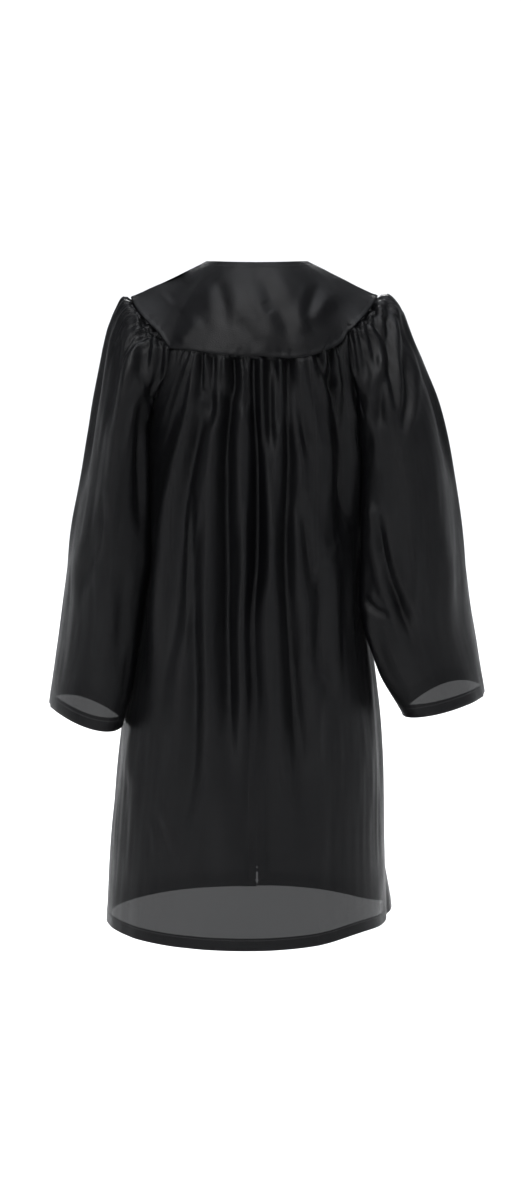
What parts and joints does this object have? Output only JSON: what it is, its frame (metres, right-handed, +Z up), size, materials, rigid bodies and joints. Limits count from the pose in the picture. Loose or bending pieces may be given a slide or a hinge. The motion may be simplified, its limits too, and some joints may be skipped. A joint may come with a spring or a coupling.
{
  "type": "child's graduation gown",
  "caption": "Knee-length child's graduation gown in shiny woven cloth: smooth shoulder yoke, gathered back and fronts, bell sleeves and a front zip with a swinging pull tab.",
  "frame": {"origin": "middle of the neck opening, level with the high shoulder points that carry the gown", "axes": "+Z up, along the body; -Y to the gown's front; +X to the wearer's left"},
  "size_m": [0.4432, 0.2166, 0.6791],
  "materials": {
    "cloth": "shiny black woven polyester",
    "zip_tape": "matt black woven tape",
    "zip_teeth": "black coil",
    "zip_metal": "black painted"
  },
  "bodies": {
    "gown": {"back_yoke": "cloth", "front_yoke_left": "cloth", "front_yoke_right": "cloth", "back_panel": "cloth", "front_panel_left": "cloth", "front_panel_right": "cloth", "sleeve_left": "cloth", "sleeve_right": "cloth", "zip_tape_left": "zip_tape", "zip_tape_right": "zip_tape", "zip_teeth": "zip_teeth", "zip_slider": "zip_metal", "zip_stop": "zip_metal"},
    "pull_tab": {"zip_pull_tab": "zip_metal"}
  },
  "joints": [
    {"name": "pull_tab_swing", "type": "hinge", "parent": "gown", "child": "pull_tab", "pos_m": [0, -0.08411, -0.08578], "axis": [-1, 0, 0], "range_deg": [0, 140]}
  ]
}
